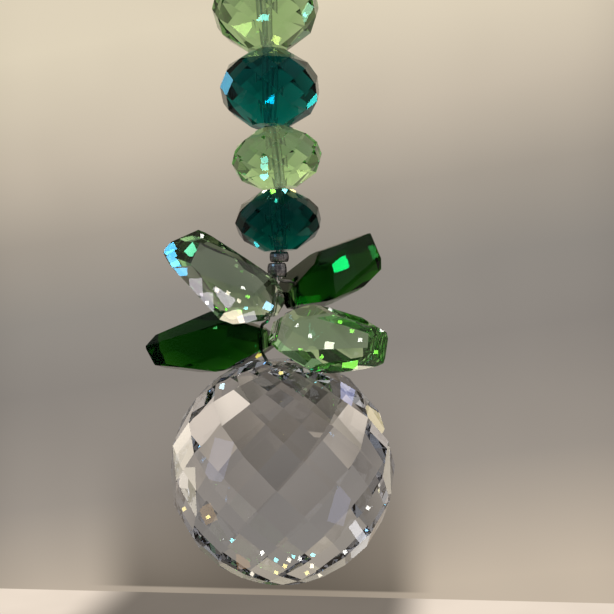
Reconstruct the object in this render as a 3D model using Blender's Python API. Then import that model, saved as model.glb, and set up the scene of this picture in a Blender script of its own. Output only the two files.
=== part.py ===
"""Hanging crystal suncatcher: a faceted ball under four polygon drops and a strand of faceted rondelles.

Everything is threaded on one beading wire, which loops through the ball at the bottom and round a
metal ring at the top. Crimp beads close both loops. Metres, +Z up, +Y away from the viewer. The
origin is the highest point inside the ring, where a hook carries the suncatcher.
"""

import math

import bmesh
import bpy
import numpy as np
from mathutils import Matrix, Vector

MM = 0.001

# Clearances
CRIMP_GAP = 0.15 * MM
BEAD_GAP = 0.3 * MM
WIRE_GAP = 0.2 * MM
CUT_BEYOND = 1.5 * MM

# Hanging ring
RING_INNER_RADIUS = 5.6 * MM
RING_STOCK_RADIUS = 0.7 * MM

# Beading wire
WIRE_RADIUS = 0.225 * MM
STRAND_SPACING = 0.58 * MM
TOP_LOOP_DROP = 4.4 * MM
TOP_TAIL = 4.5 * MM
BOTTOM_TAIL = 4.0 * MM
LOOP_FLARE = 0.35 * MM
WIRE_STEP = 0.8 * MM

# Crimp beads: width across the strands, thickness as a share of it, heights
CRIMP_WIDTH = 2.6 * MM
CRIMP_FLATNESS = 0.74
CRIMP_BORE_RADIUS = 0.72 * MM
CRIMP_LIP = 0.22 * MM
TOP_CRIMP_HEIGHT = 1.8 * MM
UPPER_CRIMP_HEIGHT = 1.35 * MM
LOWER_CRIMP_HEIGHT = 1.85 * MM
UPPER_CRIMP_OFFSET = 0.34 * MM

# Rondelles
TOP_WIDTH = 14.3 * MM
UPPER_WIDTH = 13.4 * MM
LOWER_WIDTH = 12.1 * MM
LAST_WIDTH = 11.6 * MM
RONDELLE_FACETS_ROUND = 10
RONDELLE_TIERS = 2
RONDELLE_BORE_RADIUS = 0.7 * MM
BORE_FOLLOW = 0.75

# Crystal ball
BALL_RADIUS = 15.0 * MM
BALL_FACETS_ROUND = 12
BALL_TIERS_DOWN = 7
BALL_TIERS_UP = 6
BALL_BASE_RADIUS = 2.6 * MM
TABLE_RADIUS = 3.9 * MM
BALL_TURN = -1.5
CHANNEL_RADIUS = 0.7 * MM
CHANNEL_MOUTH = 1.7 * MM
CHANNEL_DEPTH = 2.8 * MM

# Polygon drops
DROP_LENGTH = 16.7 * MM
DROP_BORE_RADIUS = 0.6 * MM
DROP_BORE_REACH = 1.75 * MM
CLUSTER_HEIGHT = 11.1 * MM

GLASS_ROUGHNESS = 0.02
COLOURS = {
    "clear_crystal": (0.86, 0.87, 0.85),
    "leaf_green": (0.02, 0.17, 0.02),
    "peridot": (0.42, 0.55, 0.16),
    "teal": (0.0, 0.13, 0.11),
    "gunmetal": (0.10, 0.10, 0.11),
    "silver": (0.72, 0.72, 0.70),
    "wire_grey": (0.24, 0.24, 0.25),
}
METALS = ("gunmetal", "silver", "wire_grey")

# Each bead from the top down: name, glass, width, then shares of that width (height, table radius,
# sideways offset), then its lean to the left and its turn about the wire in degrees
RONDELLES = (
    ("peridot_rondelle_top", "peridot", TOP_WIDTH, 0.78, 0.19, -0.04, 1.0, 6.0),
    ("teal_rondelle_upper", "teal", UPPER_WIDTH, 0.745, 0.19, -0.02, -2.0, 11.0),
    ("peridot_rondelle_lower", "peridot", LOWER_WIDTH, 0.66, 0.19, 0.032, 5.5, 3.0),
    ("teal_rondelle_lower", "teal", LAST_WIDTH, 0.69, 0.19, 0.03, 2.5, 9.0),
)

# Each drop: name, glass, middle of its bore in shares of a drop's length (across, back, and above the
# ball's table), then its yaw, rise and roll in degrees
DROPS = (
    ("clear_drop_left", "clear_crystal", (-0.075, -0.092, 0.437), 222.0, 29.0, 185.0),
    ("green_drop_right", "leaf_green", (0.134, 0.088, 0.507), 40.0, 22.0, -14.0),
    ("green_drop_left", "leaf_green", (-0.14, 0.095, 0.168), 165.0, -5.5, 3.0),
    ("clear_drop_right", "clear_crystal", (0.05, -0.065, 0.238), -41.0, -6.0, 171.0),
)

# A drop's long facets: angle round its length from its top, how far along from its bore and its reach
# there in shares of its length, and its lean in degrees. A facet that leans forward closes on the tip,
# and one that leans back closes on the bore.
DROP_SIDES = (
    (8.0, 0.40, 0.275, 15.0),
    (-14.0, 0.0, 0.097, -24.0),
    (-52.0, 0.36, 0.24, -4.0),
    (-92.0, 0.42, 0.207, 5.0),
    (-76.0, 0.0, 0.102, -24.0),
    (-128.0, 0.54, 0.216, 9.0),
    (172.0, 0.54, 0.205, 11.0),
    (-172.0, 0.32, 0.205, -4.0),
    (178.0, 0.0, 0.097, -22.0),
    (134.0, 0.36, 0.228, -6.0),
    (88.0, 0.42, 0.207, 5.0),
    (104.0, 0.0, 0.102, -24.0),
    (54.0, 0.54, 0.222, 9.0),
)

# The facets at a drop's two ends: a point on each in shares of its length, and the way it faces
DROP_ENDS = (
    ((0.92, 0.0, 0.0), (0.97, -0.18, -0.08)),
    ((0.91, 0.0, 0.12), (0.70, 0.12, 0.70)),
    ((-0.08, 0.0, 0.0), (-1.0, 0.0, 0.12)),
)


def clear_scene():
    """Removes whatever the scene holds."""
    for item in list(bpy.data.objects):
        bpy.data.objects.remove(item)


def new_collection(name):
    """A collection of that name in the scene."""
    collection = bpy.data.collections.new(name)
    bpy.context.scene.collection.children.link(collection)
    return collection


def finish(name):
    """The material of that name: glass, or a metal."""
    material = bpy.data.materials.get(name) or bpy.data.materials.new(name)
    material.use_nodes = True
    shader = material.node_tree.nodes["Principled BSDF"]
    shader.inputs["Base Color"].default_value = (*COLOURS[name], 1.0)
    metal = name in METALS
    shader.inputs["Metallic"].default_value = 1.0 if metal else 0.0
    shader.inputs["Roughness"].default_value = 0.3 if metal else GLASS_ROUGHNESS
    shader.inputs["Transmission Weight"].default_value = 0.0 if metal else 1.0
    return material


def add_object(name, data, material, collection):
    """A new object of the model, at the origin."""
    item = bpy.data.objects.new(name, data)
    item.data.materials.append(finish(material))
    collection.objects.link(item)
    return item


def meet_point_rings(around, rows):
    """Radius and height of each ring of corners on a unit sphere cut into kites, from its girdle up.

    Each ring is turned half a step against the last. A kite's lowest corner and the middle of its two
    side corners give the line on which its top corner lies, where that line meets the sphere again.
    """
    half_step = math.pi / around
    shrink = math.cos(half_step)
    rings = [Vector((1.0, 0.0)), Vector((shrink, math.sin(half_step)))]
    while len(rings) <= rows:
        low, side = rings[-2], rings[-1]
        along = Vector((side.x * shrink, side.y)) - low
        rings.append(low - along * (2.0 * low.dot(along) / along.dot(along)))
    return rings


def ring_points(count, radius, height, turn):
    """Corners of a level polygon about the Z axis. turn is in steps of the polygon."""
    angles = (np.arange(count) + turn) * 2.0 * math.pi / count
    return [Vector((radius * math.cos(a), radius * math.sin(a), height)) for a in angles]


def hull_mesh(name, points):
    """The closed faceted mesh round these points."""
    mesh = bpy.data.meshes.new(name)
    shape = bmesh.new()
    for point in points:
        shape.verts.new(point)
    hull = bmesh.ops.convex_hull(shape, input=shape.verts)
    inside = [part for part in hull["geom_interior"] if isinstance(part, bmesh.types.BMVert)]
    bmesh.ops.delete(shape, geom=inside, context="VERTS")
    bmesh.ops.recalc_face_normals(shape, faces=shape.faces)
    shape.to_mesh(mesh)
    shape.free()
    return mesh


def kite_corners(around, tiers_down, tiers_up, radius, rise):
    """Corners of the kite-cut band of a ball or rondelle: radius round it, rise at what would be its pole."""
    points = []
    rings = meet_point_rings(around, max(tiers_down, tiers_up))
    for tier in range(-tiers_down, tiers_up + 1):
        ring = rings[abs(tier)]
        height = math.copysign(ring.y * rise, tier)
        points += ring_points(around, ring.x * radius, height, 0.5 * (tier % 2))
    return points


def cylinder_cutter(name, radius, start, end, owner, cutters):
    """A hidden round cutter from start to end, in the frame of the object that it cuts."""
    mesh = bpy.data.meshes.new(name)
    shape = bmesh.new()
    length = (end - start).length
    bmesh.ops.create_cone(
        shape, cap_ends=True, segments=16, radius1=radius, radius2=radius, depth=length
    )
    turn = (end - start).to_track_quat("Z", "Y").to_matrix().to_4x4()
    bmesh.ops.transform(
        shape, matrix=Matrix.Translation((start + end) / 2.0) @ turn, verts=shape.verts
    )
    shape.to_mesh(mesh)
    shape.free()
    return hide_cutter(name, mesh, owner, cutters)


def channel_cutter(mouth, foot, ball, cutters):
    """A hidden V-shaped cutter: one round arm from beyond its mouth to the foot, and its mirror image."""
    shape = bmesh.new()
    down = (foot - mouth).normalized()
    start, end = mouth - down * CUT_BEYOND, foot + down * 2.0 * CUT_BEYOND
    bmesh.ops.create_cone(
        shape,
        cap_ends=True,
        segments=16,
        radius1=CHANNEL_RADIUS,
        radius2=CHANNEL_RADIUS,
        depth=(end - start).length,
    )
    turn = down.to_track_quat("Z", "Y").to_matrix().to_4x4()
    bmesh.ops.transform(
        shape, matrix=Matrix.Translation((start + end) / 2.0) @ turn, verts=shape.verts
    )
    whole = shape.verts[:] + shape.edges[:] + shape.faces[:]
    bmesh.ops.bisect_plane(
        shape, geom=whole, plane_co=foot, plane_no=(-1.0, 0.0, 0.0), clear_outer=True
    )
    arm = shape.verts[:] + shape.edges[:] + shape.faces[:]
    bmesh.ops.mirror(shape, geom=arm, axis="X", merge_dist=1e-6)
    bmesh.ops.recalc_face_normals(shape, faces=shape.faces)
    mesh = bpy.data.meshes.new("channel")
    shape.to_mesh(mesh)
    shape.free()
    return hide_cutter("channel", mesh, ball, cutters)


def hide_cutter(name, mesh, owner, cutters):
    """The cutter of that mesh, kept out of the render and moved with its owner."""
    cutter = bpy.data.objects.new(name, mesh)
    cutter.hide_render = True
    cutter.display_type = "WIRE"
    cutter.parent = owner
    cutters.objects.link(cutter)
    return cutter


def cut(owner, cutter):
    """Takes the cutter's shape out of its owner."""
    boolean = owner.modifiers.new(cutter.name, "BOOLEAN")
    boolean.operation = "DIFFERENCE"
    boolean.solver = "EXACT"
    boolean.object = cutter


def make_rondelle(bead, centre_height, parts, cutters):
    """One rondelle: kites between two flat tables. Returns points down its bore, for the wire."""
    name, glass, width, height, table, offset, lean, turn = bead
    radius, half = width / 2.0, width * height / 2.0
    # The tables cut the oval that the kites lie on, so its poles lie beyond them
    pole = half / math.sqrt(1.0 - (2.0 * table) ** 2)
    points = kite_corners(RONDELLE_FACETS_ROUND, RONDELLE_TIERS, RONDELLE_TIERS, radius, pole)
    for side in (-half, half):
        points += ring_points(
            RONDELLE_FACETS_ROUND, table * width, side, 0.5 * ((RONDELLE_TIERS + 1) % 2)
        )
    item = add_object(name, hull_mesh(name, points), glass, parts)
    item.location = (offset * width, 0.0, centre_height)
    item.rotation_euler = (0.0, math.radians(-lean), math.radians(turn))
    reach = Vector((0.0, 0.0, half + CUT_BEYOND))
    cut(item, cylinder_cutter(name + "_bore", RONDELLE_BORE_RADIUS, -reach, reach, item, cutters))
    # The wire follows the bore's own lean
    axis = item.rotation_euler.to_matrix() @ Vector((0.0, 0.0, BORE_FOLLOW * half))
    return [item.location + axis, item.location - axis]


def make_ball(centre, parts, cutters):
    """The ball: kites from a small flat base up to a flat table, with a V-shaped channel for the wire."""
    points = kite_corners(
        BALL_FACETS_ROUND, BALL_TIERS_DOWN, BALL_TIERS_UP, BALL_RADIUS, BALL_RADIUS
    )
    base_height = -math.sqrt(BALL_RADIUS**2 - BALL_BASE_RADIUS**2)
    for tiers, radius, height in (
        (BALL_TIERS_DOWN, BALL_BASE_RADIUS, base_height),
        (BALL_TIERS_UP, TABLE_RADIUS, table_height()),
    ):
        points += ring_points(BALL_FACETS_ROUND, radius, height, 0.5 * ((tiers + 1) % 2))
    turn = Matrix.Rotation(math.radians(BALL_TURN), 3, "Z")
    ball = add_object(
        "crystal_ball", hull_mesh("crystal_ball", [turn @ p for p in points]), "clear_crystal", parts
    )
    ball.location = centre
    cut(ball, channel_cutter(*channel_line(), ball, cutters))
    return ball


def table_height():
    """Height of the ball's flat top above its centre."""
    return math.sqrt(BALL_RADIUS**2 - TABLE_RADIUS**2)


def channel_line():
    """The right mouth and the foot of the ball's V-shaped channel, from the ball's centre."""
    top = table_height()
    return Vector((CHANNEL_MOUTH, 0.0, top)), Vector((0.0, 0.0, top - CHANNEL_DEPTH))


def grind(shape, point, normal):
    """Grinds one flat facet: takes off all beyond the plane and closes the cut."""
    made = bmesh.ops.bisect_plane(
        shape,
        geom=shape.verts[:] + shape.edges[:] + shape.faces[:],
        plane_co=point,
        plane_no=normal,
        clear_outer=True,
    )
    rim = [part for part in made["geom_cut"] if isinstance(part, bmesh.types.BMEdge)]
    bmesh.ops.holes_fill(shape, edges=rim)


def drop_mesh(name):
    """A polygon drop along +X, its bore's middle at the origin: a block ground to long leaning facets."""
    shape = bmesh.new()
    bmesh.ops.create_cube(shape, size=4.0 * DROP_LENGTH)
    for angle, station, reach, lean in DROP_SIDES:
        a, t = math.radians(angle), math.radians(lean)
        out = Vector((0.0, math.sin(a), math.cos(a)))
        normal = out * math.cos(t) + Vector((math.sin(t), 0.0, 0.0))
        grind(shape, (Vector((station, 0.0, 0.0)) + out * reach) * DROP_LENGTH, normal)
    for point, normal in DROP_ENDS:
        grind(shape, Vector(point) * DROP_LENGTH, Vector(normal))
    bmesh.ops.recalc_face_normals(shape, faces=shape.faces)
    mesh = bpy.data.meshes.new(name)
    shape.to_mesh(mesh)
    shape.free()
    return mesh


def drop_matrix(place, yaw, rise, roll, table_centre):
    """Where a drop is: rolled about its length, raised, then swung round the wire."""
    turn = (
        Matrix.Rotation(math.radians(yaw), 4, "Z")
        @ Matrix.Rotation(math.radians(-rise), 4, "Y")
        @ Matrix.Rotation(math.radians(roll), 4, "X")
    )
    return Matrix.Translation(table_centre + Vector(place) * DROP_LENGTH) @ turn


def make_drop(drop, table_centre, parts, cutters):
    """One polygon drop with its cross bore. Returns points down that bore, for the wire."""
    name, glass, place, yaw, rise, roll = drop
    item = add_object(name, drop_mesh(name), glass, parts)
    item.matrix_world = drop_matrix(place, yaw, rise, roll, table_centre)
    # The bore is drilled to hang upright when the drop is in its place
    upright = item.matrix_world.to_3x3().inverted() @ Vector((0.0, 0.0, 1.0))
    reach = upright * DROP_LENGTH / 2.0
    cut(item, cylinder_cutter(name + "_bore", DROP_BORE_RADIUS, -reach, reach, item, cutters))
    down = (DROP_BORE_REACH, 0.0, -DROP_BORE_REACH)
    return [item.matrix_world @ (upright * step) for step in down]


def crimp_mesh(name, height, across):
    """A squashed barrel with a bore, its long side along across, "X" or "Y"."""
    outer, bore, half = CRIMP_WIDTH / 2.0, CRIMP_BORE_RADIUS, height / 2.0
    profile = [(bore, half), (outer - CRIMP_LIP, half)]
    for step in range(1, 6):
        a = math.pi * step / 6.0
        profile.append((outer - CRIMP_LIP * (1.0 - math.sin(a)), half * math.cos(a)))
    profile += [(outer - CRIMP_LIP, -half), (bore, -half)]
    shape = bmesh.new()
    verts = [shape.verts.new((r, 0.0, z)) for r, z in profile]
    edges = [shape.edges.new((verts[i], verts[(i + 1) % len(verts)])) for i in range(len(verts))]
    bmesh.ops.spin(
        shape,
        geom=verts + edges,
        axis=(0.0, 0.0, 1.0),
        cent=(0.0, 0.0, 0.0),
        angle=2.0 * math.pi,
        steps=24,
        use_merge=True,
    )
    flat = (1.0, CRIMP_FLATNESS, 1.0) if across == "X" else (CRIMP_FLATNESS, 1.0, 1.0)
    bmesh.ops.scale(shape, vec=flat, verts=shape.verts)
    bmesh.ops.remove_doubles(shape, verts=shape.verts, dist=1e-7)
    bmesh.ops.recalc_face_normals(shape, faces=shape.faces)
    mesh = bpy.data.meshes.new(name)
    shape.to_mesh(mesh)
    shape.free()
    return mesh


def make_crimp(name, height, across, place, parts):
    """One crimp bead at that place, smooth round its barrel."""
    item = add_object(name, crimp_mesh(name, height, across), "gunmetal", parts)
    item.location = place
    item.data.shade_smooth()
    item.data.set_sharp_from_angle(angle=math.radians(40.0))
    return item


def make_ring(parts):
    """The closed round ring, facing the viewer, with the highest point inside it at the origin."""
    bpy.ops.mesh.primitive_torus_add(
        major_radius=RING_INNER_RADIUS + RING_STOCK_RADIUS,
        minor_radius=RING_STOCK_RADIUS,
        major_segments=40,
        minor_segments=12,
        location=(0.0, 0.0, -RING_INNER_RADIUS),
        rotation=(math.pi / 2.0, 0.0, 0.0),
    )
    ring = bpy.context.object
    ring.name = "hanging_ring"
    ring.data.materials.append(finish("silver"))
    ring.data.shade_smooth()
    for home in list(ring.users_collection):
        home.objects.unlink(ring)
    parts.objects.link(ring)
    return ring


def smooth_route(points, step):
    """Points close together on a smooth curve through the given ones, by centripetal Catmull-Rom."""
    ends = [points[0] * 2.0 - points[1], *points, points[-1] * 2.0 - points[-2]]
    route = []
    for a, b, c, d in zip(ends, ends[1:], ends[2:], ends[3:]):
        t1 = math.sqrt((b - a).length)
        t2 = t1 + math.sqrt((c - b).length)
        t3 = t2 + math.sqrt((d - c).length)
        count = max(1, round((c - b).length / step))
        for i in range(count):
            t = t1 + (t2 - t1) * i / count
            p = a.lerp(b, t / t1)
            q = b.lerp(c, (t - t1) / (t2 - t1))
            r = c.lerp(d, (t - t2) / (t3 - t2))
            s = p.lerp(q, t / t2)
            u = q.lerp(r, (t - t1) / (t3 - t1))
            route.append(s.lerp(u, (t - t1) / (t2 - t1)))
    route.append(points[-1])
    return route


def make_wire(points, parts):
    """The beading wire along that route, as a round tube with closed ends."""
    curve = bpy.data.curves.new("beading_wire", "CURVE")
    curve.dimensions = "3D"
    curve.bevel_depth = WIRE_RADIUS
    curve.bevel_resolution = 2
    curve.use_fill_caps = True
    route = smooth_route(points, WIRE_STEP)
    spline = curve.splines.new("POLY")
    spline.points.add(len(route) - 1)
    for point, place in zip(spline.points, route):
        point.co = (*place, 1.0)
    return add_object("beading_wire", curve, "wire_grey", parts)


def main():
    """Builds the suncatcher from its ring down to the ball."""
    clear_scene()
    parts = new_collection("suncatcher")
    cutters = new_collection("cutters")
    make_ring(parts)

    # Top loop round the ring's lowest stretch, down to the top crimp
    bar = Vector((0.0, 0.0, -2.0 * RING_INNER_RADIUS - RING_STOCK_RADIUS))
    bend = RING_STOCK_RADIUS + WIRE_RADIUS + WIRE_GAP
    half_pair = STRAND_SPACING / 2.0
    height = bar.z - TOP_LOOP_DROP
    first = RONDELLES[0]
    top_x = first[5] * first[2]
    crimp = Vector((top_x, 0.0, height - TOP_CRIMP_HEIGHT / 2.0))
    make_crimp("top_crimp_bead", TOP_CRIMP_HEIGHT, "Y", crimp, parts)
    height -= TOP_CRIMP_HEIGHT + CRIMP_GAP

    strand = []
    for bead in RONDELLES:
        half = bead[2] * bead[3] / 2.0
        height -= half
        strand.append(make_rondelle(bead, height, parts, cutters))
        height -= half + BEAD_GAP
    height += BEAD_GAP - CRIMP_GAP

    upper = Vector((UPPER_CRIMP_OFFSET, 0.0, height - UPPER_CRIMP_HEIGHT / 2.0))
    make_crimp("crimp_bead_upper", UPPER_CRIMP_HEIGHT, "X", upper, parts)
    height -= UPPER_CRIMP_HEIGHT + CRIMP_GAP
    lower = Vector((0.0, 0.0, height - LOWER_CRIMP_HEIGHT / 2.0))
    make_crimp("crimp_bead_lower", LOWER_CRIMP_HEIGHT, "X", lower, parts)
    height -= LOWER_CRIMP_HEIGHT

    table_centre = Vector((0.0, 0.0, height - CLUSTER_HEIGHT))
    centre = table_centre - Vector((0.0, 0.0, table_height()))
    make_ball(centre, parts, cutters)
    bores = {drop[0]: make_drop(drop, table_centre, parts, cutters) for drop in DROPS}

    # The wire from its tail in the top bead, round the ring, down the strand and round the lower loop
    back, across = Vector((0.0, half_pair, 0.0)), Vector((half_pair, 0.0, 0.0))
    up = Vector((0.0, 0.0, 1.0))
    top_mouth = Vector((top_x, 0.0, crimp.z))
    entry, exit_low = strand[0]
    tail = entry.lerp(exit_low, (entry.z - crimp.z + TOP_TAIL) / (entry.z - exit_low.z))
    route = [tail - back, entry - back, top_mouth - back]
    arc = [math.pi * (i / 6.0) for i in range(7)]
    route += [bar + Vector((0.0, -bend * math.cos(a), bend * math.sin(a))) for a in arc]
    route += [top_mouth + back, entry + back, tail + back, exit_low]
    route += strand[1] + strand[2] + [point + across for point in strand[3]]
    flare = up * (LOWER_CRIMP_HEIGHT / 2.0 + LOOP_FLARE)
    route += [upper + across, lower + across, lower + across - flare]
    for name in ("green_drop_right", "clear_drop_right"):
        route += bores[name]
    mouth, foot = channel_line()
    other = Vector((-mouth.x, 0.0, mouth.z))
    bottom = foot - up * WIRE_RADIUS * 2.0
    route += [centre + p for p in (mouth, mouth.lerp(foot, 0.65), bottom)]
    route += [centre + p for p in (other.lerp(foot, 0.65), other)]
    for name in ("green_drop_left", "clear_drop_left"):
        route += reversed(bores[name])
    route += [lower - across - flare, lower - across, upper - across]
    entry, exit_low = strand[3]
    tail = exit_low.lerp(entry, (upper.z + BOTTOM_TAIL - exit_low.z) / (entry.z - exit_low.z))
    route += [exit_low - across, tail - across]
    make_wire(route, parts)


main()
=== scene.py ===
"""Looks of the hanging crystal suncatcher: polished glass, crimps, beading wire, ring, light and camera.

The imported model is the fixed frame, in metres, +Z up. The camera looks along +Y. The strand hangs
upright in the frame, so the camera is turned by the strand's lean on the photograph.
"""

from __future__ import annotations

import itertools
import logging
import math
from dataclasses import dataclass
from enum import Enum

import bmesh
import bpy
import numpy as np
from mathutils import Matrix, Vector

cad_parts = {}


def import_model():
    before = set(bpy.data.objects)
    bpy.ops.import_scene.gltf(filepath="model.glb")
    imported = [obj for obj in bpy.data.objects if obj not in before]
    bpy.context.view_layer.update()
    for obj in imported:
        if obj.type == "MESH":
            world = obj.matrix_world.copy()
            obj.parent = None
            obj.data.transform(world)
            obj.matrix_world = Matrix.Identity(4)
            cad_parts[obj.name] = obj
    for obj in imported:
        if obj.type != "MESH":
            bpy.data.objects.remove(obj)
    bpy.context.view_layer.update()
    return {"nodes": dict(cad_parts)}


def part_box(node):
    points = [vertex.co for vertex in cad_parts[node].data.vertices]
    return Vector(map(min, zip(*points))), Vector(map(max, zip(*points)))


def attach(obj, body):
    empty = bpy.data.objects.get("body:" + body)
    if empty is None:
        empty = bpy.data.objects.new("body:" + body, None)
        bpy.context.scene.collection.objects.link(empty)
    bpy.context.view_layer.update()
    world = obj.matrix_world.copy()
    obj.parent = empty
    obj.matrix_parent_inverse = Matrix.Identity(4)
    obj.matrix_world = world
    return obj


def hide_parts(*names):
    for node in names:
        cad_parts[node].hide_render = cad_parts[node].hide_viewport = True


LOG = logging.getLogger("suncatcher")
MM = 0.001
FRAME_PIXELS = 614
SENSOR_WIDTH = 36.0
GLASS_INDEX = 1.56
GLASS_BOUNCES = 32
GLOSS_BOUNCES = 12

Colour = tuple[float, float, float]
Place = tuple[float, float, float]
Pair = tuple[float, float]
Socket = bpy.types.NodeSocket
Feed = Socket | float | tuple[float, ...]


class Glass(Enum):
    """The glasses that the beads are cut from."""

    CLEAR = "clear_crystal"
    GREY = "grey_crystal"
    PALE = "pale_crystal"
    LEAF_GREEN = "leaf_green"
    PERIDOT = "peridot"
    FRESH_PERIDOT = "fresh_peridot"
    TEAL = "teal"
    DEEP_TEAL = "deep_teal"


class Sketch:
    """A material being drawn: adds shader nodes to it and joins them."""

    def __init__(self, name: str) -> None:
        """Starts a material.

        Args:
            name: the material's name.
        """
        self.material = bpy.data.materials.new(name)
        self.material.use_nodes = True
        self.nodes = self.material.node_tree.nodes
        self.links = self.material.node_tree.links
        self.shader = self.nodes["Principled BSDF"]
        self.place = self.nodes.new("ShaderNodeTexCoord").outputs["Object"]

    def set(self, **values: Feed) -> None:
        """Sets or joins inputs of the surface shader.

        Args:
            **values: a plain value or an output socket for each input, named with underscores.
        """
        for name, value in values.items():
            self._feed(self.shader.inputs[name.replace("_", " ").title().replace("Ior", "IOR")], value)

    def _feed(self, socket: Socket, value: Feed) -> None:
        """Joins an output to a socket, or sets the socket's plain value.

        Args:
            socket: the input socket.
            value: the output, or the plain value.
        """
        if isinstance(value, Socket):
            self.links.new(value, socket)
        else:
            socket.default_value = value

    def axis(self, name: str) -> Socket:
        """One coordinate of the surface point.

        Args:
            name: "X", "Y" or "Z".

        Returns:
            The coordinate in metres, in the piece's own frame.
        """
        split = self.nodes.new("ShaderNodeSeparateXYZ")
        self.links.new(self.place, split.inputs[0])
        return split.outputs[name]

    def calc(self, operation: str, *numbers: Feed) -> Socket:
        """The result of one arithmetic operation.

        Args:
            operation: the Math node's operation.
            *numbers: the one or two numbers or sockets that it works on.

        Returns:
            The result.
        """
        node = self.nodes.new("ShaderNodeMath")
        node.operation = operation
        for socket, number in zip(node.inputs, numbers):
            self._feed(socket, number)
        return node.outputs[0]

    def length(self, across: Feed, up: Feed) -> Socket:
        """The length of a line from its two legs: the square root of the sum of their squares."""
        squares = self.calc("ADD", self.calc("POWER", across, 2.0), self.calc("POWER", up, 2.0))
        return self.calc("SQRT", squares)

    def climb(
        self, value: Feed, low: float, high: float, to: tuple[Feed, Feed] = (0.0, 1.0), smooth: bool = True
    ) -> Socket:
        """A climb from one number to another while the value runs from low to high.

        Args:
            value: what the climb follows.
            low: where the climb starts.
            high: where it ends.
            to: the numbers before and after the climb.
            smooth: whether the climb is eased at both ends and not a straight slope.

        Returns:
            The number between both.
        """
        node = self.nodes.new("ShaderNodeMapRange")
        node.interpolation_type = "SMOOTHSTEP" if smooth else "LINEAR"
        for name, number in zip(("From Min", "From Max", "To Min", "To Max"), (low, high, *to)):
            self._feed(node.inputs[name], number)
        self._feed(node.inputs["Value"], value)
        return node.outputs["Result"]

    def noise(self, size: float, detail: float = 2.0) -> Socket:
        """Soft noise.

        Args:
            size: about how large its patches are, in metres.
            detail: how many finer layers it has.

        Returns:
            A number from 0 to 1.
        """
        node = self.nodes.new("ShaderNodeTexNoise")
        node.inputs["Scale"].default_value = 1.0 / size
        node.inputs["Detail"].default_value = detail
        self.links.new(self.place, node.inputs["Vector"])
        return node.outputs["Fac"]

    def ramp(self, value: Feed, stops: tuple[tuple[float, Colour], ...]) -> Socket:
        """A colour that runs through stops.

        Args:
            value: where on the ramp to look, from 0 to 1.
            stops: a position from 0 to 1 and a colour each, in order.

        Returns:
            The colour.
        """
        node = self.nodes.new("ShaderNodeValToRGB")
        points = node.color_ramp.elements
        while len(points) < len(stops):
            points.new(0.5)
        for point, (position, colour) in zip(points, stops):
            point.position = position
            point.color = (*colour, 1.0)
        self._feed(node.inputs["Fac"], value)
        return node.outputs["Color"]

    def tint(self, colour: Feed, strength: Feed) -> Socket:
        """A colour made darker or brighter.

        Args:
            colour: the colour.
            strength: what it is multiplied by.

        Returns:
            The product.
        """
        node = self.nodes.new("ShaderNodeVectorMath")
        node.operation = "SCALE"
        self._feed(node.inputs[0], colour)
        self._feed(node.inputs["Scale"], strength)
        return node.outputs[0]

    def bump(self, height: Feed, strength: float, distance: float) -> Socket:
        """A bumpy surface normal.

        Args:
            height: the bumps' height, from 0 to 1.
            strength: how strongly they show.
            distance: how high the highest is, in metres.

        Returns:
            The normal.
        """
        node = self.nodes.new("ShaderNodeBump")
        node.inputs["Strength"].default_value = strength
        node.inputs["Distance"].default_value = distance
        self._feed(node.inputs["Height"], height)
        return node.outputs["Normal"]

    def fill(self, tint: Colour, density: float) -> None:
        """Tints the depth of the piece.

        Args:
            tint: the light that passes.
            density: how strongly the rest is taken out, over each metre.
        """
        volume = self.nodes.new("ShaderNodeVolumeAbsorption")
        volume.inputs["Color"].default_value = (*tint, 1.0)
        volume.inputs["Density"].default_value = density
        self.links.new(volume.outputs["Volume"], self.nodes["Material Output"].inputs["Volume"])


@dataclass(frozen=True)
class Bore:
    """A bead's drilled bore: the height of its middle, how far aside it is there, and its lean.

    The lean is to the left, in degrees. The glass is rough as far out as wall times the radius, and
    polished from edge times the radius outwards.
    """

    height: float
    aside: float
    lean: float
    radius: float = 0.72 * MM
    roughness: float = 0.5
    wall: float = 1.1
    edge: float = 1.3

    def frost(self, sketch: Sketch, polish: Socket) -> Socket:
        """Adds the drill's frosting round the bore's leaning line.

        Args:
            sketch: the glass that is drawn.
            polish: the roughness of the polished facets.

        Returns:
            The roughness of both.
        """
        slope = math.tan(math.radians(self.lean))
        upright = sketch.calc("ADD", sketch.axis("X"), sketch.calc("MULTIPLY", sketch.axis("Z"), slope))
        across = sketch.calc("SUBTRACT", upright, self.aside + slope * self.height)
        away = sketch.length(across, sketch.axis("Y"))
        ends = (self.wall * self.radius, self.edge * self.radius)
        return sketch.climb(away, *ends, to=(self.roughness, polish), smooth=False)


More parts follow.
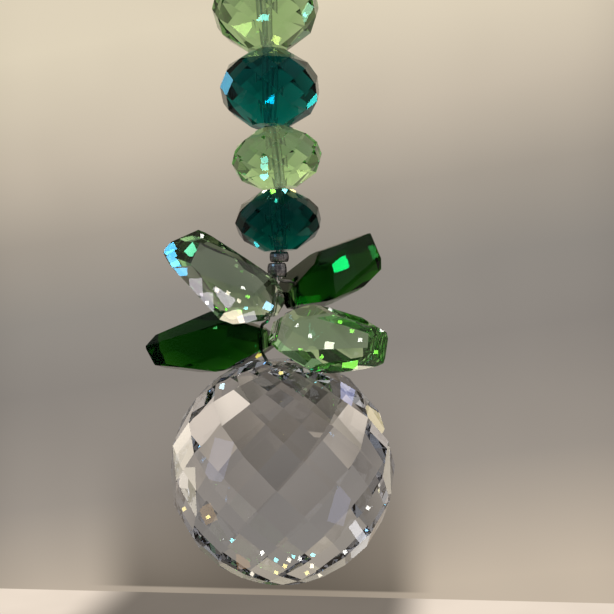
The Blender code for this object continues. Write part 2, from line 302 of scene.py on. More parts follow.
@dataclass(frozen=True)
class GlassFinish:
    """Polished cut glass: clear on its surface and tinted in its depth.

    The tint is what the glass lets through over each metre: a channel at 1 passes, and one at 0 is
    taken out at the full density. Fine polishing waves and faint finger marks come from noise.
    """

    name: str
    tint: Colour
    density: float
    index: float = GLASS_INDEX
    gloss: Colour = (1.0, 1.0, 1.0)
    haze: float = 0.02
    mark_size: float = 22.0 / 3.0 * MM
    marked: Pair = (0.45, 0.75)
    wave_size: float = 2.2 * MM
    wave_strength: float = 0.01
    wave_height: float = 0.1 * MM

    def build(self, bore: Bore | None = None) -> bpy.types.Material:
        """Makes the material.

        Args:
            bore: the bead's bore, which is left frosted by its drill.

        Returns:
            The glass, with its tint as plain values on a volume shader.
        """
        sketch = Sketch(self.name)
        sketch.set(base_color=(1.0, 1.0, 1.0, 1.0), metallic=0.0, transmission_weight=1.0, ior=self.index)
        sketch.set(specular_tint=(*self.gloss, 1.0))
        marks = sketch.noise(self.mark_size, detail=3.0)
        polish = sketch.climb(marks, *self.marked, to=(0.0, self.haze), smooth=False)
        sketch.set(roughness=polish if bore is None else bore.frost(sketch, polish))
        waves = sketch.noise(self.wave_size, detail=1.0)
        sketch.set(normal=sketch.bump(waves, self.wave_strength, self.wave_height))
        sketch.fill(self.tint, self.density)
        return sketch.material


@dataclass(frozen=True)
class MetalFinish:
    """Plated metal with uneven wear: colour, roughness and fine bumps follow one noise."""

    name: str
    bright: Colour
    dull: Colour
    smooth: float
    rough: float
    grain: float = 0.25 * MM
    worn: Pair = (0.35, 0.7)
    bumps: float = 0.15
    bump_height: float = 0.03 * MM

    def build(self) -> bpy.types.Material:
        """Makes the material.

        Returns:
            The metal, its colour and roughness driven by noise.
        """
        sketch = Sketch(self.name)
        wear = sketch.noise(self.grain, detail=6.0)
        plate = sketch.ramp(wear, ((self.worn[0], self.dull), (self.worn[1], self.bright)))
        polish = sketch.climb(wear, 0.0, 1.0, to=(self.rough, self.smooth), smooth=False)
        sketch.set(metallic=1.0, base_color=plate, roughness=polish)
        sketch.set(normal=sketch.bump(wear, self.bumps, self.bump_height))
        return sketch.material


GLASSES = {
    Glass.CLEAR: GlassFinish("clear_crystal_glass", (0.76, 0.79, 0.85), 26.0),
    Glass.GREY: GlassFinish("grey_crystal_glass", (0.43, 0.60, 0.42), 280.0),
    Glass.PALE: GlassFinish("pale_crystal_glass", (0.42, 0.78, 0.30), 140.0),
    Glass.LEAF_GREEN: GlassFinish("leaf_green_glass", (0.18, 0.59, 0.01), 1000.0, gloss=(0.05, 0.30, 0.08)),
    Glass.PERIDOT: GlassFinish("peridot_glass", (0.36, 0.68, 0.22), 115.0, gloss=(0.6, 0.7, 0.6)),
    Glass.FRESH_PERIDOT: GlassFinish("fresh_peridot_glass", (0.45, 0.87, 0.27), 110.0, gloss=(0.6, 0.7, 0.6)),
    Glass.TEAL: GlassFinish("teal_glass", (0.02, 0.67, 0.66), 540.0, gloss=(0.08, 0.30, 0.32)),
    Glass.DEEP_TEAL: GlassFinish("deep_teal_glass", (0.01, 0.64, 0.62), 720.0, gloss=(0.06, 0.25, 0.27)),
}
SLOTS = {Glass.GREY: "clear_crystal", Glass.PALE: "clear_crystal", Glass.LEAF_GREEN: "leaf_green"}
GUNMETAL = MetalFinish("gunmetal_plate", (0.30, 0.30, 0.31), (0.10, 0.10, 0.11), 0.16, 0.4)
SILVER = MetalFinish("silver_plate", (0.86, 0.85, 0.82), (0.62, 0.61, 0.58), 0.12, 0.3, 0.8 * MM)
WIRE_GREY = MetalFinish("coated_wire", (0.40, 0.40, 0.41), (0.22, 0.22, 0.23), 0.25, 0.45, 0.2 * MM)


@dataclass
class PhotoCamera:
    """The camera at the photograph's viewing angle, level, and turned about its line of sight."""

    focal_pixels: float = 922.0
    place: Place = (3.87 * MM, -123.3 * MM, -63.9 * MM)
    roll: float = 1.57
    nearest: float = 1.0 * MM
    farthest: float = 20.0

    def build(self) -> bpy.types.Object:
        """Makes the camera and sets it as the scene's.

        Returns:
            The camera.
        """
        data = bpy.data.cameras.new("photo_camera")
        data.sensor_width = SENSOR_WIDTH
        data.lens = self.focal_pixels * SENSOR_WIDTH / FRAME_PIXELS
        data.clip_start = self.nearest
        data.clip_end = self.farthest
        camera = bpy.data.objects.new("photo_camera", data)
        turn = Matrix.Rotation(math.radians(self.roll), 4, "Y") @ Matrix.Rotation(math.pi / 2.0, 4, "X")
        camera.matrix_world = Matrix.Translation(self.place) @ turn
        bpy.context.scene.collection.objects.link(camera)
        bpy.context.scene.camera = camera
        return camera

    def ray(self, pixel: Pair) -> tuple[Vector, Vector]:
        """The line of sight through one pixel of the photograph.

        Args:
            pixel: its place in the frame, from the left and from the top.

        Returns:
            The camera's place and the unit direction from it.
        """
        across, up = pixel[0] - FRAME_PIXELS / 2.0, FRAME_PIXELS / 2.0 - pixel[1]
        turn = math.radians(self.roll)
        level = across * math.cos(turn) + up * math.sin(turn)
        rise = up * math.cos(turn) - across * math.sin(turn)
        return Vector(self.place), Vector((level, self.focal_pixels, rise)).normalized()


@dataclass
class Stage:
    """The plain pale ledge below and the plain wall behind, with one soft shade between two lit sides.

    Both glow with the light and shade that the room would give them, painted into their colour, so that the
    glass has the same even surroundings from every facet. The wall is turned a little, its right side nearer.
    A pair of lengths is where a fade starts and ends, and a shade is the share of light that it takes.
    """

    ledge_height: float = -136.9 * MM
    wall_distance: float = 110.0 * MM
    turn: float = -9.4
    reach: float = 900.0 * MM
    points: int = 9
    wall_height: float = 158.0 * MM
    slant: float = 0.12
    shade_left: Pair = (-58.0 * MM, -40.0 * MM)
    shade_right: Pair = (22.0 * MM, 35.0 * MM)
    shade_height: float = 56.0 * MM
    wall_shade: float = 0.7
    ledge_shade: float = 0.76
    # Painted shadow of the ball on the wall: its middle, its radius and how dark it is.
    ball_shadow_place: Pair = (-2.3 * MM, 22.0 * MM)
    ball_shadow_radius: float = 44.0 * MM
    ball_shadow_shade: float = 0.42
    side_fade: Pair = (68.0 * MM, 130.0 * MM)
    side_shade: float = 0.7
    rim: Pair = (1.2 * MM, 1.8 * MM)
    rim_shade: float = 0.35
    mottled: Pair = (0.3, 0.7)
    wall_patch: float = 55.0 * MM
    wall_mottle: Pair = (0.96, 1.03)
    ledge_patch: float = 30.0 * MM
    ledge_mottle: Pair = (0.93, 1.0)
    ledge_fade: Pair = (-64.0 * MM, -13.0 * MM)
    ledge_front: Pair = (-220.0 * MM, -130.0 * MM)
    ledge_dim: float = 0.3
    ledge_near: float = 0.8
    ledge_colour: Colour = (0.86, 0.74, 0.62)
    # The wall's own pale tone with painted light in it: brightest at the top, darkest a third of the way up.
    wall_tone_and_light_stops: tuple[tuple[float, Colour], ...] = (
        (0.0, (0.56, 0.47, 0.37)),
        (0.19, (0.34, 0.30, 0.26)),
        (0.38, (0.265, 0.24, 0.215)),
        (0.50, (0.29, 0.265, 0.235)),
        (0.63, (0.38, 0.335, 0.28)),
        (0.76, (0.565, 0.49, 0.39)),
        (0.95, (0.76, 0.67, 0.51)),
    )

    def build(self) -> None:
        """Makes the ledge and the wall behind."""
        self._sheet("pale_ledge", self._ledge_grid(), self._ledge_finish())
        self._sheet("wall", self._wall_grid(), self._wall_finish())

    def _ledge_grid(self) -> np.ndarray:
        """A level grid of points: x runs over the reach to both sides, y from the reach in front to 0.

        Returns:
            Rows of points, last axis x, y, z.
        """
        across = np.linspace(-self.reach, self.reach, self.points)
        x, y = np.meshgrid(across, np.linspace(-self.reach, 0.0, self.points))
        return np.stack([x, y, np.zeros_like(x)], axis=-1)

    def _wall_grid(self) -> np.ndarray:
        """An upright grid of points: x runs over the reach to both sides, z from 0 up to the reach.

        Returns:
            Rows of points, last axis x, y, z.
        """
        across = np.linspace(-self.reach, self.reach, self.points)
        x, z = np.meshgrid(across, np.linspace(0.0, self.reach, self.points))
        return np.stack([x, np.zeros_like(x), z], axis=-1)

    def _sheet(self, name: str, grid: np.ndarray, material: bpy.types.Material) -> None:
        """Makes one flat sheet of the stage.

        Args:
            name: the object's name.
            grid: rows of points from the middle of the wall's foot, last axis x, y, z.
            material: its finish.
        """
        sheet = bpy.data.objects.new(name, grid_mesh(name, grid))
        sheet.location = (0.0, self.wall_distance, self.ledge_height)
        sheet.rotation_euler = (0.0, 0.0, math.radians(self.turn))
        sheet.data.materials.append(material)
        bpy.context.scene.collection.objects.link(sheet)
        LOG.info("%s is %s", name, material.name)

    def _shade_across(self, sketch: Sketch) -> Socket:
        """The shade's share across the wall.

        Args:
            sketch: the finish that is drawn.

        Returns:
            1 in the shade's middle, and 0 on the lit sides.
        """
        across = sketch.axis("X")
        left = sketch.climb(across, *self.shade_left)
        right = sketch.climb(across, *self.shade_right, to=(1.0, 0.0))
        return sketch.calc("MULTIPLY", left, right)

    def _mottle(self, sketch: Sketch, size: float, to: Pair) -> Socket:
        """The share of light on faint uneven patches of that size, from the darkest to the brightest."""
        return sketch.climb(sketch.noise(size), *self.mottled, to=to)

    def _ledge_finish(self) -> bpy.types.Material:
        """A matt pale ledge, faintly mottled, in painted shade along its middle, its painted light brightest
        at the wall's foot, dimmer away from it and a little brighter again far in front.

        Returns:
            The finish.
        """
        sketch = Sketch("ledge_paint_and_light")
        shade = sketch.calc("MULTIPLY", self._shade_across(sketch), self.ledge_shade)
        lit = sketch.calc("SUBTRACT", 1.0, shade)
        # Painted light: brightest at the wall's foot, dimmer away from it, a little brighter again far in
        # front.
        behind = sketch.climb(sketch.axis("Y"), *self.ledge_fade, to=(self.ledge_dim, 1.0))
        before = sketch.climb(sketch.axis("Y"), *self.ledge_front, to=(self.ledge_near, self.ledge_dim))
        painted_falloff = sketch.calc("MAXIMUM", behind, before)
        mottle = self._mottle(sketch, self.ledge_patch, self.ledge_mottle)
        lit = sketch.calc("MULTIPLY", sketch.calc("MULTIPLY", lit, mottle), painted_falloff)
        return self._glow(sketch, sketch.tint(self.ledge_colour, lit))

    def _wall_finish(self) -> bpy.types.Material:
        """A matt wall whose own pale tone carries painted light that runs with height, with the painted shade
        at its foot and a pale rim there.

        Returns:
            The finish.
        """
        sketch = Sketch("wall_paint_and_light")
        height = sketch.axis("Z")
        # Painted light, slanted across the wall: brightest at the top, brighter again towards the foot.
        along = sketch.calc("SUBTRACT", height, sketch.calc("MULTIPLY", sketch.axis("X"), self.slant))
        colour = sketch.ramp(sketch.calc("DIVIDE", along, self.wall_height), self.wall_tone_and_light_stops)
        rise = sketch.calc("DIVIDE", height, self.shade_height)
        fade = sketch.calc("POWER", sketch.calc("MAXIMUM", sketch.calc("SUBTRACT", 1.0, rise), 0.0), 2.0)
        shade = sketch.calc("MULTIPLY", self._shade_across(sketch), fade)
        shade = sketch.calc("MULTIPLY", shade, self.wall_shade)
        # Painted light: a pale rim along the wall's foot, where the painted shade is weaker.
        rim = sketch.climb(height, *self.rim, to=(self.rim_shade, 1.0))
        lit = sketch.calc("SUBTRACT", 1.0, sketch.calc("MULTIPLY", shade, rim))
        # Painted shadow of the ball.
        lit = sketch.calc("MULTIPLY", lit, self._ball_shadow(sketch, height))
        lit = sketch.calc("MULTIPLY", lit, self._sides(sketch))
        mottle = self._mottle(sketch, self.wall_patch, self.wall_mottle)
        self._open_from_behind(sketch)
        return self._glow(sketch, sketch.tint(sketch.tint(colour, lit), mottle))

    def _open_from_behind(self, sketch: Sketch) -> None:
        """Lets the wall be looked through from its back, where it would hide the suncatcher.

        Args:
            sketch: the finish that is drawn.
        """
        side = sketch.nodes.new("ShaderNodeNewGeometry")
        clear = sketch.nodes.new("ShaderNodeBsdfTransparent")
        choice = sketch.nodes.new("ShaderNodeMixShader")
        sketch.links.new(side.outputs["Backfacing"], choice.inputs[0])
        sketch.links.new(sketch.shader.outputs["BSDF"], choice.inputs[1])
        sketch.links.new(clear.outputs["BSDF"], choice.inputs[2])
        sketch.links.new(choice.outputs["Shader"], sketch.nodes["Material Output"].inputs["Surface"])

    def _ball_shadow(self, sketch: Sketch, height: Socket) -> Socket:
        """The ball's own soft shadow, painted on the wall, darkest straight behind it.

        Args:
            sketch: the finish that is drawn.
            height: the height above the wall's foot.

        Returns:
            The share of light.
        """
        across = sketch.calc("SUBTRACT", sketch.axis("X"), self.ball_shadow_place[0])
        above = sketch.calc("SUBTRACT", height, self.ball_shadow_place[1])
        distance = sketch.length(across, above)
        return sketch.climb(distance, 0.0, self.ball_shadow_radius, to=(1.0 - self.ball_shadow_shade, 1.0))

    def _sides(self, sketch: Sketch) -> Socket:
        """The share of light that is left as it falls off beyond the picture's two sides."""
        away = sketch.calc("ABSOLUTE", sketch.axis("X"))
        return sketch.climb(away, *self.side_fade, to=(1.0, 1.0 - self.side_shade))

    def _glow(self, sketch: Sketch, colour: Socket) -> bpy.types.Material:
        """Makes the sheet glow with its colour, painted light and shade included, in place of being lit.

        Args:
            sketch: the finish that is drawn.
            colour: the sheet's colour, with its painted light and shade in it.

        Returns:
            The finish.
        """
        # Painted light: the sheet is not lit, it glows with the light and shade painted into its colour.
        sketch.set(base_color=(0.0, 0.0, 0.0, 1.0), roughness=1.0, specular_ior_level=0.0)
        sketch.set(emission_color=colour, emission_strength=1.0)
        return sketch.material


@dataclass(frozen=True)
class Lamp:
    """One soft lamp: where it is, what it aims at, its size, its colour and its power."""

    name: str
    place: Place
    aim: Place
    size: Pair
    colour: Colour
    power: float

    def build(self) -> bpy.types.Object:
        """Makes the lamp, facing its aim.

        Returns:
            The lamp.
        """
        data = bpy.data.lights.new(self.name, "AREA")
        data.shape = "RECTANGLE"
        data.size, data.size_y = self.size
        data.color = self.colour
        data.energy = self.power
        lamp = bpy.data.objects.new(self.name, data)
        facing = (Vector(self.aim) - Vector(self.place)).to_track_quat("-Z", "Y")
        lamp.matrix_world = Matrix.Translation(self.place) @ facing.to_matrix().to_4x4()
        lamp.visible_camera = False
        bpy.context.scene.collection.objects.link(lamp)
        return lamp


@dataclass(frozen=True)
class Glint:
    """One bright spot on a facet: a small window or lamp of the room, mirrored by the glass.

    The spot is where the photograph shows it, in its pixels, and its size is in millimetres on the
    facet. The lamp stands along the ray that the facet there throws back, so the spot stays on its
    facet whatever the facet's slope. Where something stands in that ray's way, the lamp is put short
    of it.
    """

    name: str
    pixel: Pair
    spot: Pair
    colour: Colour
    glow: float
    distance: float = 70.0 * MM
    lift: float = 0.01 * MM
    short: float = 0.8

    def build(self, camera: PhotoCamera, depsgraph: bpy.types.Depsgraph) -> None:
        """Makes the lamp that the facet mirrors.

        Args:
            camera: the camera that sees the facet.
            depsgraph: the scene as it is evaluated, for the ray to the facet.
        """
        eye, ray = camera.ray(self.pixel)
        met, point, normal, _, node, _ = bpy.context.scene.ray_cast(depsgraph, eye, ray)
        if not met:
            LOG.info("%s meets no facet", self.name)
            return
        if normal.dot(ray) > 0.0:
            normal = -normal
        back = ray - 2.0 * ray.dot(normal) * normal
        blocked, stop, *_ = bpy.context.scene.ray_cast(depsgraph, point + back * self.lift, back)
        distance = min(self.distance, self.short * (stop - point).length) if blocked else self.distance
        reach = 1.0 + distance / (point - eye).length
        size = tuple(side * MM * reach for side in self.spot)
        mirrored = mirrored_share(-ray.dot(normal))
        power = self.glow / mirrored * math.pi * size[0] * size[1]
        lamp = Lamp(self.name, tuple(point + back * distance), tuple(point), size, self.colour, power).build()
        lamp.light_linking.receiver_collection = only(node)
        LOG.info("%s on %s, mirrored %.2f", self.name, node.name, mirrored)


def sparkles() -> list[Glint]:
    """The tiny spots, one after another through the colours of the table.

    Returns:
        One glint to each.
    """
    spots = [(colour, pixel) for colour, *pixels in SPARKLES for pixel in pixels]
    return [
        Glint(f"sparkle_{k}", pixel, SPARKLE_SIZE, colour, SPARKLE_GLOW, NEAR)
        for k, (colour, pixel) in enumerate(spots)
    ]


def only(node: bpy.types.Object) -> bpy.types.Collection:
    """The collection that holds one piece alone, for a lamp that lights nothing else.

    Args:
        node: the piece.

    Returns:
        Its collection, which isn't part of the scene.
    """
    name = "lit_" + node.name
    group = bpy.data.collections.get(name)
    if group is None:
        group = bpy.data.collections.new(name)
        group.objects.link(node)
    return group


def mirrored_share(cosine: float, index: float = GLASS_INDEX) -> float:
    """The share of light that a polished glass facet mirrors, by Schlick's rule.

    Args:
        cosine: cosine of the angle between the ray and the facet's normal.
        index: the glass's refractive index.

    Returns:
        The share: its value head-on, climbing to 1 with the fifth power of what the cosine lacks.
    """
    head_on = ((index - 1.0) / (index + 1.0)) ** 2
    return head_on + (1.0 - head_on) * (1.0 - cosine) ** 5


CENTRE = (0.0, 0.0, -60.0 * MM)
NEAR = 4.0 * MM
SPARKLE_SIZE = (0.5, 0.45)
SPARKLE_GLOW = 0.9
WHITE = (0.9, 0.9, 0.85)
SKY = (0.10, 0.52, 0.86)
CYAN = (0.25, 0.93, 0.98)
CREAM = (0.86, 0.78, 0.62)
YELLOW = (0.82, 0.68, 0.22)
PEARL = (0.70, 0.64, 0.72)
LEAF = (0.25, 0.85, 0.08)
GLINTS = (
    Glint("sky_tip", (168.5, 249.0), (1.0, 1.9), SKY, 1.0),
    Glint("sky_tip_foot", (179.5, 272.0), (1.0, 1.9), SKY, 1.0),
    Glint("sky_spot", (266.5, 309.5), (1.2, 1.9), (0.30, 0.62, 0.85), 0.9),
    Glint("sky_tip_middle", (173.0, 260.0), (1.0, 1.7), SKY, 1.0),
    Glint("sky_tip_upper", (170.5, 255.0), (1.0, 1.3), SKY, 1.0),
    Glint("sky_tip_lower", (176.5, 266.5), (1.0, 1.3), SKY, 1.0),
    Glint("pearl_bevel", (196.0, 288.0), (2.4, 1.6), PEARL, 0.4),
    Glint("pearl_bevel_middle", (207.0, 302.0), (2.4, 1.6), PEARL, 0.45),
    Glint("pearl_bevel_foot", (247.0, 318.0), (2.4, 1.2), PEARL, 0.5),
    Glint("pearl_ridge", (222.0, 298.0), (3.0, 1.6), PEARL, 0.5),
    Glint("peach_facet", (231.0, 319.0), (3.2, 2.0), (0.95, 0.80, 0.62), 0.75),
    Glint("oval", (262.5, 20.5), (1.5, 1.6), CYAN, 1.1, NEAR),
    Glint("yellow_green_facet", (242.0, 29.0), (2.8, 2.6), (0.50, 0.72, 0.22), 0.7, NEAR),
    Glint("yellow_square", (275.0, 40.0), (1.2, 1.2), (0.65, 0.75, 0.20), 0.9, NEAR),
    Glint("mint_edge", (305.0, 15.0), (1.0, 3.0), (0.40, 0.85, 0.60), 0.5),
    Glint("blue_edge", (228.0, 83.0), (2.0, 3.0), (0.12, 0.42, 0.62), 0.9),
    Glint("blue_bar", (269.0, 103.0), (1.1, 2.2), (0.0, 0.62, 1.0), 3.0),
    Glint("cyan_streak", (313.0, 103.0), (1.0, 2.4), (0.06, 0.85, 0.80), 0.9),
    Glint("cyan_round", (264.5, 160.0), (0.9, 0.8), CYAN, 0.85, NEAR),
    Glint("cyan_bar", (264.5, 167.5), (0.9, 0.9), CYAN, 0.85, NEAR),
    Glint("cyan_bar_foot", (264.8, 175.5), (0.9, 1.2), CYAN, 0.85, NEAR),
    Glint("yellow_facet", (300.0, 173.0), (4.2, 3.0), (0.42, 0.52, 0.18), 0.55),
    Glint("yellow_facet_side", (309.0, 173.0), (3.0, 2.6), (0.42, 0.52, 0.18), 0.5),
    Glint("peridot_dot_1", (265.0, 191.7), (0.7, 0.6), CREAM, 3.0, NEAR),
    Glint("peridot_dot_2", (273.0, 191.0), (0.6, 0.6), LEAF, 3.0, NEAR),
    Glint("peridot_dot_3", (284.5, 190.5), (0.6, 0.6), CYAN, 3.0, NEAR),
    Glint("peridot_dot_4", (292.5, 190.8), (0.8, 0.6), YELLOW, 3.2, NEAR),
    Glint("mint_spot", (276.0, 200.0), (0.9, 0.4), (0.06, 0.60, 0.42), 2.5, NEAR),
    Glint("teal_spot", (257.0, 244.0), (0.8, 0.6), (0.02, 0.30, 0.32), 2.5, NEAR),
    Glint("emerald_spot", (340.0, 264.0), (2.2, 1.8), (0.0, 0.72, 0.25), 2.4),
    Glint("emerald_end", (375.0, 256.0), (0.9, 3.2), (0.03, 0.30, 0.08), 0.9),
    Glint("emerald_low", (308.0, 303.0), (3.6, 1.8), (0.03, 0.35, 0.04), 0.6),
    Glint("emerald_foot", (256.0, 352.0), (1.0, 1.2), (0.0, 0.60, 0.15), 0.9),
    Glint("yellow_dot", (259.0, 356.0), (0.9, 0.7), (0.80, 0.68, 0.10), 0.95),
    Glint("white_dot", (215.0, 328.0), (0.5, 0.5), (0.6, 0.85, 0.75), 0.9),
    Glint("leaf_spot", (350.0, 363.0), (1.9, 1.3), LEAF, 0.95),
    Glint("cream_spot", (329.0, 347.0), (1.1, 1.3), (0.85, 0.90, 0.70), 0.95),
    Glint("cream_rim", (362.0, 369.0), (3.0, 0.8), CREAM, 0.7),
    Glint("ball_cream_left", (218.0, 400.0), (7.0, 7.0), CREAM, 0.1),
    Glint("ball_cream_right", (358.0, 425.0), (7.0, 7.0), CREAM, 0.1),
    Glint("ball_yellow_kite", (374.0, 420.0), (2.2, 3.6), (0.80, 0.68, 0.36), 0.5),
    Glint("ball_lavender_top", (341.0, 392.0), (3.0, 3.4), (0.42, 0.46, 0.80), 0.35),
    Glint("ball_lavender_left", (219.0, 460.0), (2.4, 5.0), (0.45, 0.48, 0.80), 0.10),
    Glint("ball_lavender_right", (341.0, 503.0), (2.0, 5.0), (0.45, 0.48, 0.80), 0.10),
    Glint("ball_cream_edge", (182.0, 452.0), (3.0, 8.0), CREAM, 0.4),
    Glint("ball_cream_low", (188.0, 500.0), (2.0, 8.0), CREAM, 0.3),
    Glint("ball_amber", (243.0, 561.0), (1.8, 1.6), (0.42, 0.22, 0.06), 0.22),
    Glint("ball_amber_left", (208.0, 514.0), (1.6, 2.2), (0.42, 0.26, 0.10), 0.25),
    Glint("ball_cream_right_edge", (384.0, 470.0), (1.6, 6.0), CREAM, 0.3),
    Glint("ball_white_streak", (355.0, 528.0), (4.0, 1.2), (0.8, 0.8, 0.85), 0.4),
    Glint("ball_white_low", (362.0, 545.0), (3.0, 3.0), (0.8, 0.8, 0.8), 0.35),
    Glint("ball_dot", (222.0, 386.0), (0.8, 0.6), (0.5, 0.75, 0.85), 0.9),
)
SPARKLES = (
    (WHITE, (202, 236), (207, 303), (243, 288), (262, 553), (300, 559), (345, 552), (368, 508), (171, 498),
     (310, 336), (360, 340), (382, 330), (296, 325), (330, 310)),
    (CREAM, (217, 290), (228, 293), (239, 301), (289, 560), (312, 566), (252, 574), (320, 575)),
    (CYAN, (246, 308), (293, 557), (276, 560), (232, 540), (313, 555), (305, 15)),
    (YELLOW, (281, 373), (276, 573), (307, 573), (208, 517), (184, 509), (285, 566)),
    (LEAF, (248, 296), (364, 318), (352, 331), (240, 311), (300, 350), (322, 357), (376, 352), (340, 322)),
)
ROOM_STOPS = ((0.3, (0.165, 0.16, 0.155)), (0.8, (0.40, 0.39, 0.38)))
LAMPS = (
    Lamp("overhead_softbox", (0.15, -0.1, 0.55), CENTRE, (0.5, 0.5), (1.0, 0.94, 0.84), 0.2),
    Lamp("cool_window", (-0.42, -0.48, 0.16), CENTRE, (0.12, 0.24), (0.30, 0.68, 1.0), 0.4),
    Lamp("side_fill", (0.6, -0.2, 0.1), CENTRE, (0.4, 0.5), (1.0, 0.9, 0.8), 0.3),
)


def grid_mesh(name: str, grid: np.ndarray) -> bpy.types.Mesh:
    """Makes a mesh of quads from a grid of points.

    Args:
        name: the mesh's name.
        grid: rows of points, last axis x, y, z.

    Returns:
        The mesh, with one quad to each cell of the grid.
    """
    rows, columns = grid.shape[:2]
    index = np.arange(rows * columns).reshape(rows, columns)
    quads = np.stack([index[:-1, :-1], index[:-1, 1:], index[1:, 1:], index[1:, :-1]], axis=-1)
    mesh = bpy.data.meshes.new(name)
    mesh.from_pydata(grid.reshape(-1, 3).tolist(), [], quads.reshape(-1, 4).tolist())
    mesh.update()
    return mesh


@dataclass
class Beads:
    """Every cut glass piece: the ball, the drops, and the rondelles with each one's lean to the left."""

    nodes: dict[str, bpy.types.Object]
    cuts: tuple[tuple[str, Glass, float | None], ...] = (
        ("crystal_ball", Glass.CLEAR, None),
        ("clear_drop_left", Glass.GREY, None),
        ("clear_drop_right", Glass.PALE, None),
        ("green_drop_left", Glass.LEAF_GREEN, None),
        ("green_drop_right", Glass.LEAF_GREEN, None),
        ("peridot_rondelle_top", Glass.PERIDOT, 1.0),
        ("peridot_rondelle_lower", Glass.FRESH_PERIDOT, 5.5),
        ("teal_rondelle_upper", Glass.TEAL, -2.0),
        ("teal_rondelle_lower", Glass.DEEP_TEAL, 2.5),
    )

    def dress(self) -> None:
        """Gives each piece its glass, with frosting in a bead's own bore, and each drop its second cut."""
        for name, kind, lean in self.cuts:
            glass = GLASSES[kind].build(None if lean is None else self.bore(name, lean))
            dress_node(self.nodes[name], glass)
            if kind in SLOTS:
                SecondCut(self.nodes[name], glass, SLOTS[kind]).build()
            LOG.info("%s is %s", name, kind.value)

    def bore(self, name: str, lean: float) -> Bore:
        """The bore through the middle of the box of a bead, with its lean to the left in degrees."""
        low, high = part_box(name)
        return Bore((low[2] + high[2]) / 2.0, (low[0] + high[0]) / 2.0, lean)


def dress_node(node: bpy.types.Object, material: bpy.types.Material) -> None:
    """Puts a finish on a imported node.

    Args:
        node: the node's object.
        material: its new finish.
    """
    for slot in node.material_slots:
        slot.material = material


@dataclass
class SecondCut:
    """The fine cut of a drop: its back facets are ground again into smaller ones, and its edges are eased.

    Planes tilted away from a broad back facet, in rings round its normal, each take a small bite off
    the corner that stands out farthest their way. An edge is eased by one plane that faces half-way
    between its two facets, a short way below the edge. No plane may reach the bore's walls or the
    drop's extreme corners, so its size stays.
    """

    node: bpy.types.Object
    material: bpy.types.Material
    slot: str
    broad: float = 5.0 * MM * MM
    bore_wall: float = 1.3 * MM * MM
    tilts: tuple[float, ...] = (24.0, 11.0)
    back: float = 0.15
    turns: int = 6
    bite: float = 0.8 * MM
    ease: float = 0.1 * MM
    fold: float = 14.0
    long: float = 1.5 * MM
    weld: float = 0.001 * MM
    flat: float = 1.0

    def build(self) -> bpy.types.Object:
        """Makes the drop that stands for the node.

        Returns:
            The drop.
        """
        stone = bmesh.new()
        stone.from_mesh(self.node.data)
        bmesh.ops.remove_doubles(stone, verts=stone.verts, dist=self.weld)
        flat = math.radians(self.flat)
        bmesh.ops.dissolve_limit(stone, angle_limit=flat, verts=stone.verts, edges=stone.edges)
        guarded = self._guarded(stone)
        for point, normal in [*self._eased(stone), *self._ground(stone)]:
            if all((corner - point).dot(normal) < 0.0 for corner in guarded):
                grind(stone, point, normal)
        mesh = bpy.data.meshes.new(self.node.name + "_cut")
        stone.to_mesh(mesh)
        stone.free()
        mesh.materials.append(self.material)
        drop = bpy.data.objects.new(self.node.name + "_cut", mesh)
        bpy.context.scene.collection.objects.link(drop)
        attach(drop, "root")
        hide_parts(self.node.name)
        LOG.info("%s has %d facets", drop.name, len(mesh.polygons))
        return drop

    def _guarded(self, stone: bmesh.types.BMesh) -> list[Vector]:
        """The corners that no plane may take off.

        Args:
            stone: the mesh before it is ground.

        Returns:
            The corners of the bore's walls, and the extreme corner each way along each axis.
        """
        corners = [v.co.copy() for f in stone.faces if f.calc_area() < self.bore_wall for v in f.verts]
        for axis in range(3):
            for extreme in (min, max):
                corners.append(extreme(stone.verts, key=lambda v: v.co[axis]).co.copy())
        return corners

    def _ground(self, stone: bmesh.types.BMesh) -> list[tuple[Vector, Vector]]:
        """The planes that grind the broad back facets.

        Args:
            stone: the mesh before it is ground.

        Returns:
            A point and a normal to each plane.
        """
        planes = []
        corners = np.array([corner.co for corner in stone.verts])
        backs = [f for f in stone.faces if f.calc_area() > self.broad and f.normal.y > self.back]
        for order, facet in enumerate(backs):
            side = facet.normal.orthogonal().normalized()
            for (ring, tilt), turn in itertools.product(enumerate(self.tilts), range(self.turns)):
                lean = math.radians(tilt)
                around = order + 2.0 * math.pi * (turn + ring / 2.0) / self.turns
                spin = Matrix.Rotation(around, 3, facet.normal)
                facing = facet.normal * math.cos(lean) + (spin @ side) * math.sin(lean)
                reach = (corners @ np.array(facing)).max()
                planes.append((facing * (reach - self.bite), facing))
        return planes

    def _eased(self, stone: bmesh.types.BMesh) -> list[tuple[Vector, Vector]]:
        """The planes that ease the drop's long edges.

        Args:
            stone: the mesh before it is ground.

        Returns:
            A point and a normal to each plane.
        """
        planes = []
        for edge in stone.edges:
            if edge.calc_length() < self.long or edge.calc_face_angle(0.0) < math.radians(self.fold):
                continue
            facing = (edge.link_faces[0].normal + edge.link_faces[1].normal).normalized()
            middle = (edge.verts[0].co + edge.verts[1].co) / 2.0
            planes.append((middle - facing * self.ease, facing))
        return planes


def grind(stone: bmesh.types.BMesh, point: Vector, normal: Vector) -> None:
    """Grinds one flat facet: takes off all beyond the plane and closes the cut.

    Args:
        stone: the mesh that is ground.
        point: a point on the plane.
        normal: the way the new facet faces.
    """
    whole = [*stone.verts, *stone.edges, *stone.faces]
    made = bmesh.ops.bisect_plane(stone, geom=whole, plane_co=point, plane_no=normal, clear_outer=True)
    rim = [part for part in made["geom_cut"] if isinstance(part, bmesh.types.BMEdge)]
    bmesh.ops.holes_fill(stone, edges=rim)


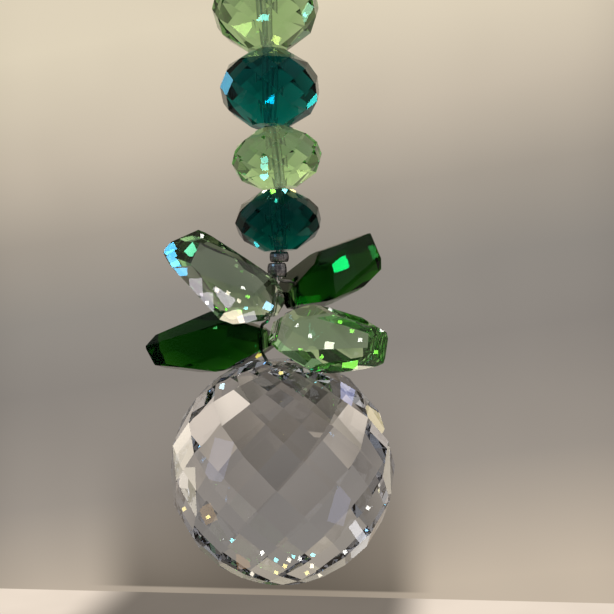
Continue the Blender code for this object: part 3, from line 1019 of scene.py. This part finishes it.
@dataclass
class Findings:
    """The metal parts: ring, crimps and beading wire."""

    nodes: dict[str, bpy.types.Object]
    platings: tuple[tuple[MetalFinish, tuple[str, ...]], ...] = (
        (GUNMETAL, ("top_crimp_bead", "crimp_bead_upper", "crimp_bead_lower")),
        (SILVER, ("hanging_ring",)),
        (WIRE_GREY, ("beading_wire",)),
    )

    def dress(self) -> None:
        """Gives each metal part its plating."""
        for finish, names in self.platings:
            plate = finish.build()
            for name in names:
                dress_node(self.nodes[name], plate)
                LOG.info("%s is %s", name, finish.name)


def set_room_light() -> None:
    """Sets the even room light that fills every side, darker towards the floor."""
    world = bpy.data.worlds.new("room")
    world.use_nodes = True
    nodes, links = world.node_tree.nodes, world.node_tree.links
    place = nodes.new("ShaderNodeTexCoord")
    split = nodes.new("ShaderNodeSeparateXYZ")
    ramp = nodes.new("ShaderNodeValToRGB")
    for point, (position, colour) in zip(ramp.color_ramp.elements, ROOM_STOPS):
        point.position = position
        point.color = (*colour, 1.0)
    half = nodes.new("ShaderNodeMapRange")
    half.inputs["From Min"].default_value = -1.0
    links.new(place.outputs["Generated"], split.inputs["Vector"])
    links.new(split.outputs["Z"], half.inputs["Value"])
    links.new(half.outputs["Result"], ramp.inputs["Fac"])
    links.new(ramp.outputs["Color"], nodes["Background"].inputs["Color"])
    bpy.context.scene.world = world


def set_light_paths() -> None:
    """Lets light cross many facets, and shows colours as a plain camera does."""
    scene = bpy.context.scene
    scene.cycles.max_bounces = GLASS_BOUNCES
    scene.cycles.transmission_bounces = GLASS_BOUNCES
    scene.cycles.glossy_bounces = GLOSS_BOUNCES
    scene.view_settings.view_transform = "Standard"


def main() -> None:
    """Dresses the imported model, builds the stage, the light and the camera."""
    logging.basicConfig(level=logging.INFO, format="%(name)s: %(message)s")
    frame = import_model()
    camera = PhotoCamera()
    camera.build()
    Beads(frame["nodes"]).dress()
    Findings(frame["nodes"]).dress()
    Stage().build()
    for lamp in LAMPS:
        lamp.build()
    depsgraph = bpy.context.evaluated_depsgraph_get()
    for glint in [*GLINTS, *sparkles()]:
        glint.build(camera, depsgraph)
    set_room_light()
    set_light_paths()


if __name__ == "__main__":
    main()
